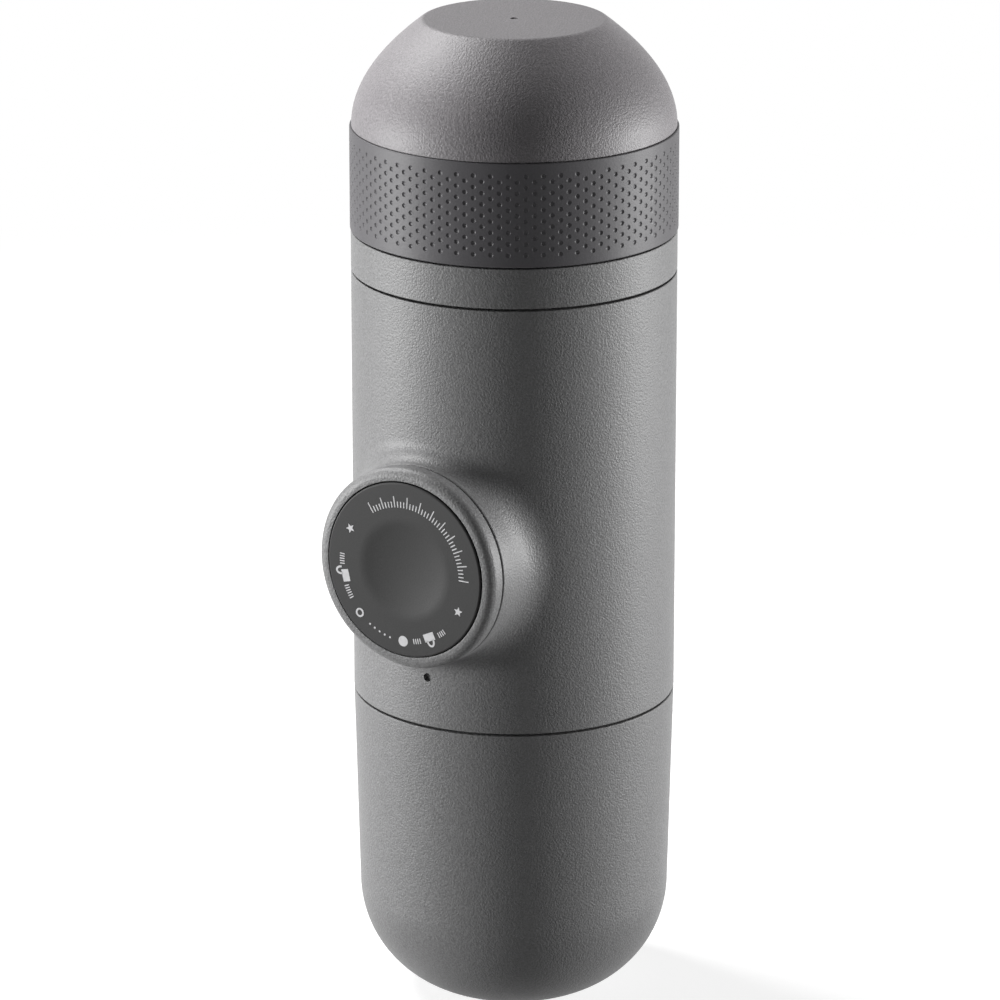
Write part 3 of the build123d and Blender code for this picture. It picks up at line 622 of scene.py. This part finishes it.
for inset, drop in (dimple_rim, dimple_wall, dimple_floor):
    bpy.ops.mesh.inset(thickness=inset * mm, depth=-drop * mm, use_individual=True)
bpy.ops.mesh.select_mode(type="VERT")
bpy.ops.object.mode_set(mode="OBJECT")
for vertex in band.data.vertices:
    turn = vertex.co.x / (band_r * mm)
    radius = band_r * mm + vertex.co.z
    vertex.co = Vector((radius * math.cos(turn), radius * math.sin(turn), vertex.co.y))
lining = turned("grip_band_lining", [
    (band_r, band_low, band_soft), (band_in, band_low, 0.1), (band_in, band_high, 0.1),
    (band_r, band_high, band_soft),
], steps=dimple_columns, closed=False)
band = joined(band, lining)
edit(band)
close_up()
smooth(band, sharp_above=50)


def rubber(name, colour, grain=2300):
    """Soft moulded rubber: matt, with dust in its pores and a faint bloom."""
    skin = Finish(name, Specular_IOR_Level=0.35, Sheen_Weight=0.05)
    pores = skin.noise(grain, detail=3, roughness=0.7)
    bloom = skin.noise(60, detail=4, roughness=0.6)
    dust = skin.ramp(pores, (0.45, 0), (0.8, 1))
    tone = skin.mix(bloom, shade(colour, 0.9), shade(colour, 1.1))
    colour_out = skin.mix(dust * 0.35, tone, shade(colour, 1.5))
    return skin.finish(colour_out, 0.46 + bloom * 0.12, pores, 0.03 * mm)


band_grey = (0.043, 0.041, 0.045)
put_on(band, rubber("grip_rubber", band_grey))
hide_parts("cup_grip_band")
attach(band, "cup")


# ---- Knob ----
# Round cap on a hollow plunger. A satin disc with a shallow finger dish is let into its face.

pump_foot = Vector((0, 0, pump_z * mm))
to_knob = Vector((0, -1, 0))
knob_back = 33.9
knob_front = -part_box("knob_body")[0].y / mm
knob_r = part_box("knob_body")[1].x / mm
plunger_back, plunger_r, plunger_in, plunger_end = 5.0, 15.6, 12.6, 32.45
pocket_r, pocket_floor = 16.6, 35.45
screw_r, screw_head_r, screw_seat = 1.6, 2.8, 33.7
knob = turned("knob_cap", [
    (screw_r, plunger_end, 0),
    (plunger_in, plunger_end, 0.4),
    (plunger_in, plunger_back, 0.2),
    (plunger_r, plunger_back, 0.3),
    (plunger_r, knob_back, 0.1),
    (knob_r, knob_back, 0.3),
    (knob_r, knob_front, 1.6),
    (pocket_r, knob_front, 0.15),
    (pocket_r, pocket_floor, 0.1),
    (screw_head_r, pocket_floor, 0.1),
    (screw_head_r, screw_seat, 0.1),
    (screw_r, screw_seat, 0.1),
], foot=pump_foot, axis=to_knob)
smooth(knob)
put_on(knob, blasted_body)
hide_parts("knob_body")
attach(knob, "knob")

disc_top = -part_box("knob_disc")[0].y / mm
print_thick = 0.02
disc_front = disc_top - print_thick
disc_r, disc_back, dish_r, dish_deep, dish_soft = 16.4, 35.5, 9.1, 0.75, 12.0
dish_steps, dish_kept = 16, 14
ball_r = (dish_r ** 2 + dish_deep ** 2) / (2 * dish_deep)
dish = []
for step in range(dish_kept):
    turn = math.asin(dish_r / ball_r) * step / dish_steps
    dish.append((ball_r * math.sin(turn), disc_front - dish_deep + ball_r * (1 - math.cos(turn)), 0))
disc = turned("knob_face", [
    *dish,
    (dish_r, disc_front, dish_soft),
    (disc_r, disc_front, 0.3),
    (disc_r, disc_back, 0.1),
    (0, disc_back, 0),
], foot=pump_foot, axis=to_knob)
smooth(disc)
disc_grey = (0.021, 0.021, 0.021)
satin = blasted("satin_disc", disc_grey, grain=3400, depth=0.008 * mm, gloss=0.5, contrast=0.15,
                reflection=0.22)
put_on(disc, satin)
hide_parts("knob_disc")
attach(disc, "knob")


def stamp(bearing, reach, width, height, sides=4):
    """Flat printed shape on the disc; its bearing is in degrees clockwise from straight down."""
    turn = math.radians(bearing)
    place = pump_foot + Vector((-reach * math.sin(turn), -disc_front, -reach * math.cos(turn))) * mm
    facing = {"location": place, "rotation": (math.pi / 2, turn, 0)}
    bpy.ops.object.select_all(action="DESELECT")
    if sides == 4:
        bpy.ops.mesh.primitive_plane_add(size=mm, **facing)
    else:
        bpy.ops.mesh.primitive_circle_add(vertices=sides, radius=0.5 * mm, fill_type="NGON", **facing)
    mark = bpy.context.object
    mark.scale = (width, height, 1)
    bpy.ops.object.transform_apply(location=True, rotation=True, scale=True)
    return mark


def hollowed(mark, line):
    """Leave only an outline of a printed shape."""
    edit(mark)
    bpy.ops.mesh.select_all(action="SELECT")
    bpy.ops.mesh.inset(thickness=line * mm)
    bpy.ops.mesh.delete(type="FACE")
    bpy.ops.object.mode_set(mode="OBJECT")
    return mark


def star(bearing, reach, size, waist=0.45):
    """Five-pointed star, from a ten-sided shape with every second corner drawn in."""
    mark = stamp(bearing, reach, size, size, sides=10)
    middle = sum((vertex.co for vertex in mark.data.vertices), Vector()) / 10
    for vertex in list(mark.data.vertices)[1::2]:
        vertex.co = middle.lerp(vertex.co, waist)
    return mark


lock_w, lock_h = 2.3, 1.5
shackle_w, shackle_h, shackle_line = 1.65, 2.2, 0.36


def padlock(bearing, reach, swing):
    """Small lock with its shackle outwards; swing moves the shackle aside, in degrees."""
    body = stamp(bearing, reach - 0.5, lock_w, lock_h)
    shackle = hollowed(stamp(bearing + swing, reach + 0.35, shackle_w, shackle_h, sides=24), shackle_line)
    body_top = (reach + 0.2) * mm
    picked(shackle, lambda face: (face.center - pump_foot).xz.length < body_top)
    bpy.ops.mesh.delete(type="FACE")
    bpy.ops.object.mode_set(mode="OBJECT")
    return [body, shackle]


stroke_w, short_stroke, long_stroke = 0.2, 1.1, 2.1
scale_reach, side_reach, side_stroke = 11.8, 12.9, 1.0
lock_reach, star_reach, ring_reach, dot_reach = 13.5, 13.05, 13.7, 13.6


def strokes(first, last, count, reach, long, short, every):
    """Row of fine radial strokes, one long for a few short, on a common inner line."""
    row = []
    for n in range(count):
        tall = short if n % every else long
        row.append(stamp(first + (last - first) * n / (count - 1), reach + tall / 2, stroke_w, tall))
    return row


def side_strokes(first, last, count):
    """Short strokes beside a lock."""
    return strokes(first, last, count, side_reach, side_stroke, side_stroke, 1)


marks = [
    stamp(0.9, dot_reach, 2.0, 2.0, sides=24),
    hollowed(stamp(44.6, ring_reach, 1.75, 1.75, sides=24), 0.34),
    *(stamp(13 + 4.9 * n, ring_reach, 0.4, 0.4, sides=10) for n in range(5)),
    star(117.7, star_reach, 1.9), star(-63.2, star_reach, 1.9),
    *strokes(146.5, 269.5, 41, scale_reach, long_stroke, short_stroke, 4),
    *padlock(76, lock_reach, 4.6), *side_strokes(58, 68, 6), *side_strokes(86, 94, 5),
    *padlock(-24.5, lock_reach, 0), *side_strokes(-40, -34, 4), *side_strokes(-15, -9, 4),
]
prints = joined(*marks)
prints.name = prints.data.name = "disc_prints"
edit(prints)
bpy.ops.mesh.select_all(action="SELECT")
bpy.ops.mesh.extrude_region_move(TRANSFORM_OT_translate={"value": to_knob * print_thick * mm})
close_up()


def print_ink(name, colour):
    """Pad-printed ink: thin, matt and slightly broken up."""
    ink = Finish(name, Specular_IOR_Level=0.35)
    speckle = ink.noise(5200, detail=2, roughness=0.6)
    cover = ink.noise(900, detail=3, roughness=0.6)
    colour_out = ink.mix(cover, shade(colour, 0.78), shade(colour, 1.08))
    return ink.finish(colour_out, 0.5 + speckle * 0.15, speckle, 0.004 * mm)


put_on(prints, print_ink("light_ink", (0.55, 0.55, 0.56)))
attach(prints, "knob")


# ---- Pump and valves ----
# Off-white glass-filled block and piston on a ground steel rod in a drawn steel cylinder. A steel spring
# pushes the released piston out. Inside the body none of it is seen until the body is taken apart.


def moulded(name, colour, gloss=0.3, fibres=0.0):
    """Moulded plastic: flow marks, hairline scuffs and, where it is glass-filled, pale fibres."""
    skin = Finish(name, Specular_IOR_Level=0.5)
    flow = skin.noise(120, detail=4, roughness=0.6)
    fine = skin.noise(1500, detail=3, roughness=0.6)
    stretched = skin.node("ShaderNodeMapping", {"Vector": skin.place, "Scale": (0.25, 1, 0.6)})
    hairs = skin.ramp(skin.noise(2600, detail=2, roughness=0.5, place=stretched), (0.56, 0), (0.66, 1))
    tone = skin.mix(flow, shade(colour, 0.85), shade(colour, 1.12))
    colour_out = skin.mix(hairs * (0.12 + fibres), tone, shade(colour, 1.5))
    return skin.finish(colour_out, gloss + flow * 0.12 + hairs * 0.1, fine * 0.4 + hairs * 0.6, 0.012 * mm)


def worked_steel(name, colour, gloss, lines=1800, depth=0.003 * mm, foot=None, grit=0.4):
    """Steel with fine lines round an axis: the upright one, or the pump's where its foot is given."""
    steel = Finish(name, Metallic=1.0)
    flat = (1, 1, 0) if foot is None else (1, 0, 1)
    along = (0, 0, 1) if foot is None else (0, 1, 0)
    moved = steel.node("ShaderNodeVectorMath", {0: steel.place, 1: foot or (0, 0, 0)}, operation="SUBTRACT")
    spoke = steel.node("ShaderNodeVectorMath", {0: moved, 1: flat}, operation="MULTIPLY")
    radius = steel.node("ShaderNodeVectorMath", {0: spoke}, output="Value", operation="LENGTH")
    height = steel.node("ShaderNodeVectorMath", {0: moved, 1: along}, output="Value", operation="DOT_PRODUCT")
    rings = steel.node("ShaderNodeCombineXYZ", {0: radius, 1: height, 2: 0.0})
    fine = steel.noise(lines, detail=4, roughness=0.7, place=rings)
    smudge = steel.noise(70, detail=4, roughness=0.6)
    tone = steel.mix(smudge, shade(colour, 0.88), shade(colour, 1.06))
    colour_out = steel.mix(fine * grit, tone, shade(colour, 0.7))
    return steel.finish(colour_out, gloss + fine * 0.14 + smudge * 0.1, fine, depth)


def dress(finishes):
    """Give the nodes of each material slot its finish."""
    for row in frame["record"]["subparts"]:
        for place in frame["nodes"][row["node"]].material_slots:
            if row["material_slot"] in finishes:
                place.material = finishes[row["material_slot"]]


spring_wire = worked_steel("spring_wire", (0.50, 0.50, 0.51), 0.26, lines=2600)
dress({
    "pump_plastic": moulded("glass_filled", (0.45, 0.44, 0.42), gloss=0.42, fibres=0.25),
    "black_plastic": moulded("black_moulding", (0.025, 0.025, 0.026), gloss=0.36),
    "polished_steel": worked_steel("ground_steel", (0.70, 0.70, 0.70), 0.08, foot=tuple(pump_foot)),
    "screw_steel": worked_steel("plated_steel", (0.60, 0.60, 0.61), 0.16, lines=3200),
    "sealing_rubber": rubber("silicone", (0.32, 0.31, 0.30), grain=900),
    "spring_steel": spring_wire,
})


wire_kept = 0.2


def coil(node, axis, fixed_corner):
    """A spring in place of its CAD node: a welded, thinned and smooth-shaded copy of that node's mesh."""
    spring = frame["nodes"][node].copy()
    spring.data = spring.data.copy()
    bpy.context.collection.objects.link(spring)
    spring.parent = None
    spring.name = spring.data.name = node + "_wire"
    del spring["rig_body"], spring["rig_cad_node"]
    edit(spring)
    close_up()
    thin = spring.modifiers.new("thin", "DECIMATE")
    thin.ratio = wire_kept
    bpy.ops.object.modifier_apply(modifier=thin.name)
    smooth(spring)
    put_on(spring, spring_wire)
    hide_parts(node)
    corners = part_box(node)
    middle = (corners[0] + corners[1]) / 2
    fixed, moved = middle.copy(), middle.copy()
    fixed[axis], moved[axis] = corners[fixed_corner][axis], corners[1 - fixed_corner][axis]
    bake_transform(spring)


coil("return_spring", axis=1, fixed_corner=1)
coil("inlet_valve_spring", axis=2, fixed_corner=1)
coil("outlet_valve_spring", axis=2, fixed_corner=1)


# ---- Brewing parts ----
# Perforated steel basket and screen, drawn from thin sheet and brushed, and a glossy scoop that nests in
# the basket and tamps with its flat floor.

dress({
    "sheet_steel": worked_steel("brushed_sheet", (0.40, 0.395, 0.39), 0.26, lines=1300, depth=0.006 * mm,
                                grit=0.8),
    "scoop_plastic": moulded("glossy_moulding", (0.03, 0.03, 0.031), gloss=0.14),
})


# ---- Studio ----
# A pale floor, soft boxes at the object's two sides and a high one behind its left side for the dome.

camera_far, camera_turn, camera_high = 1.0528, math.radians(32.03), 0.4261
camera_pitch, camera_yaw, camera_roll = (math.radians(a) for a in (17.467, -0.138, 0.015))
focal_pixels, frame_pixels = 5927.9, 1000


def around(turn, far, high):
    """Point at a bearing round the object, at a distance from its axis and a height."""
    return Vector((far * math.sin(turn), -far * math.cos(turn), high))


bpy.ops.object.camera_add(location=around(camera_turn, camera_far, camera_high))
camera = bpy.context.object
camera.rotation_euler = (math.pi / 2 - camera_pitch, camera_roll, camera_turn - camera_yaw)
camera.data.sensor_fit = "HORIZONTAL"
camera.data.sensor_width = 36
camera.data.lens = focal_pixels / frame_pixels * camera.data.sensor_width
camera.data.clip_start = 0.05
bpy.context.scene.camera = camera


object_middle = Vector((0, 0, 0.09))


def soft_box(name, bearing, far, high, size, power):
    """Area light aimed at the object's middle; bearing is in degrees from the camera's direction."""
    place = around(camera_turn + math.radians(bearing), far, high)
    bpy.ops.object.light_add(type="AREA", location=place)
    light = bpy.context.object
    light.name = name
    light.data.shape = "RECTANGLE"
    light.data.size, light.data.size_y = size
    light.data.energy = power
    light.rotation_euler = (object_middle - place).to_track_quat("-Z", "Z").to_euler()


soft_box("soft_box_left", -85, 0.8, 0.11, (0.28, 0.24), 11.3)
soft_box("soft_box_right", 93, 0.8, 0.10, (0.31, 0.24), 11.0)
soft_box("soft_box_high", -124, 0.5, 0.72, (0.36, 0.30), 8.5)


class Stage(Finish):
    """Material or world of the studio, which is white to the camera and in gloss, and dark otherwise."""

    def __init__(self, tree):
        self.tree = tree
        self.place = self.node("ShaderNodeTexCoord", output="Object")

    def seen(self):
        """1 for rays from the camera and for those that a glossy or clear surface sends on, else 0."""
        rays = self.tree.nodes.new("ShaderNodeLightPath")
        camera_ray, gloss, glass = (Wire(self, rays.outputs[kind]) for kind in
                                    ("Is Camera Ray", "Is Glossy Ray", "Is Transmission Ray"))
        return self.maths("MAXIMUM", camera_ray, self.maths("MAXIMUM", gloss, glass))


world = bpy.data.worlds.new("studio")
bpy.context.scene.world = world
world.use_nodes = True
sky = Stage(world.node_tree)
background = world.node_tree.nodes["Background"]
background.inputs["Color"].default_value = (1, 1, 1, 1)
sky.feed(background.inputs["Strength"], sky.seen())

floor_r, plain_r = 0.6, 0.3
bpy.ops.object.select_all(action="DESELECT")
bpy.ops.mesh.primitive_circle_add(vertices=128, radius=floor_r, fill_type="NGON")
floor = bpy.context.object
floor.name = floor.data.name = "studio_floor"
floor_white = bpy.data.materials.new("studio_floor")
floor_white.use_nodes = True
stage = Stage(floor_white.node_tree)
lit = stage.node("ShaderNodeAddShader", {
    0: stage.node("ShaderNodeBsdfDiffuse", {"Color": (0.45, 0.45, 0.45, 1)}),
    1: stage.node("ShaderNodeEmission", {"Strength": 0.76}),
})
distance = stage.node("ShaderNodeVectorMath", {0: stage.place}, output="Value", operation="LENGTH")
fade = stage.node("ShaderNodeMapRange", {"Value": distance, "From Min": plain_r, "From Max": floor_r * 0.95},
                  interpolation_type="SMOOTHSTEP")
white = stage.node("ShaderNodeEmission", {"Strength": 1.0})
bright = stage.node("ShaderNodeMixShader", {0: fade, 1: lit, 2: white})
dark = stage.node("ShaderNodeBsdfDiffuse", {"Color": (0.03, 0.03, 0.03, 1)})
shown = stage.node("ShaderNodeMixShader", {0: stage.seen(), 1: dark, 2: bright})
stage.feed(floor_white.node_tree.nodes["Material Output"].inputs["Surface"], shown)
floor.data.materials.append(floor_white)

bpy.context.scene.view_settings.view_transform = "Standard"
